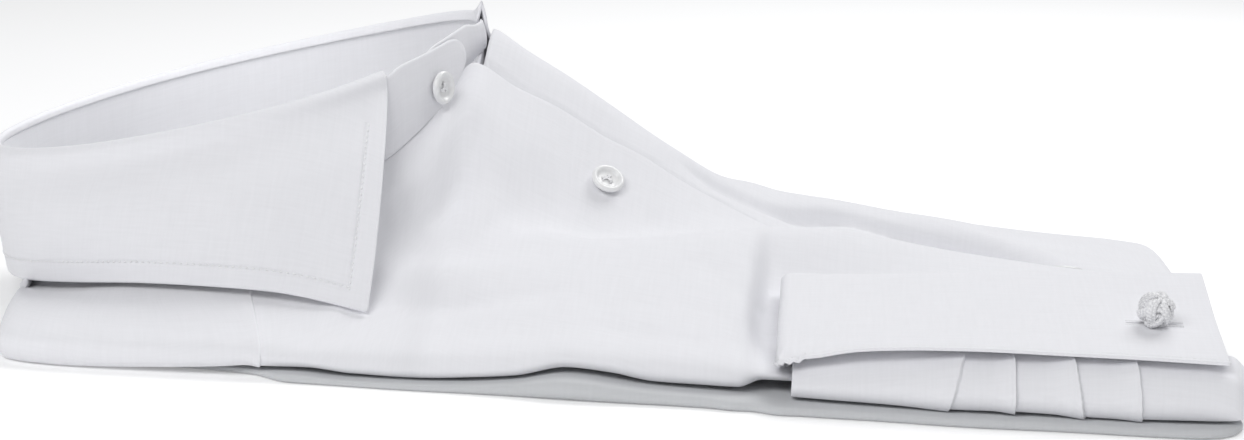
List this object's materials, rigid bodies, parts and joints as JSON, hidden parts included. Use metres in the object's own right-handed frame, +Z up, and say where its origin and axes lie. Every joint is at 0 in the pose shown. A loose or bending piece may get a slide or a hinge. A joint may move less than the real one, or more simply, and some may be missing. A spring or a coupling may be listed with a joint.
{
  "type": "folded long sleeve dress shirt",
  "caption": "White long sleeve dress shirt folded for display: collar buttoned, front placket up, one French cuff with a silk knot laid along the near edge.",
  "frame": {"origin": "middle of the underside, on the surface that the folded shirt lies on", "axes": "+X from the collar towards the hem fold, +Y towards the wearer's left side, +Z up out of the shirt front"},
  "size_m": [0.4216, 0.2412, 0.1021],
  "materials": {
    "shirt_cotton": "fine white cotton poplin, soft sheen",
    "shirt_cotton_inner": "the same poplin, in the folds underneath",
    "button_shell": "white pearly button",
    "knot_cord": "twisted white silk cord"
  },
  "bodies": {
    "root": {"folded_layers": "shirt_cotton_inner", "yoke": "shirt_cotton", "front_right": "shirt_cotton", "front_left": "shirt_cotton", "collar_stand": "shirt_cotton", "collar_leaf": "shirt_cotton", "sleeve_right": "shirt_cotton", "cuff_right": "shirt_cotton", "collar_button": "button_shell", "front_button_1": "button_shell", "front_button_2": "button_shell", "front_button_3": "button_shell", "cuff_knot": "knot_cord"}
  },
  "joints": []
}
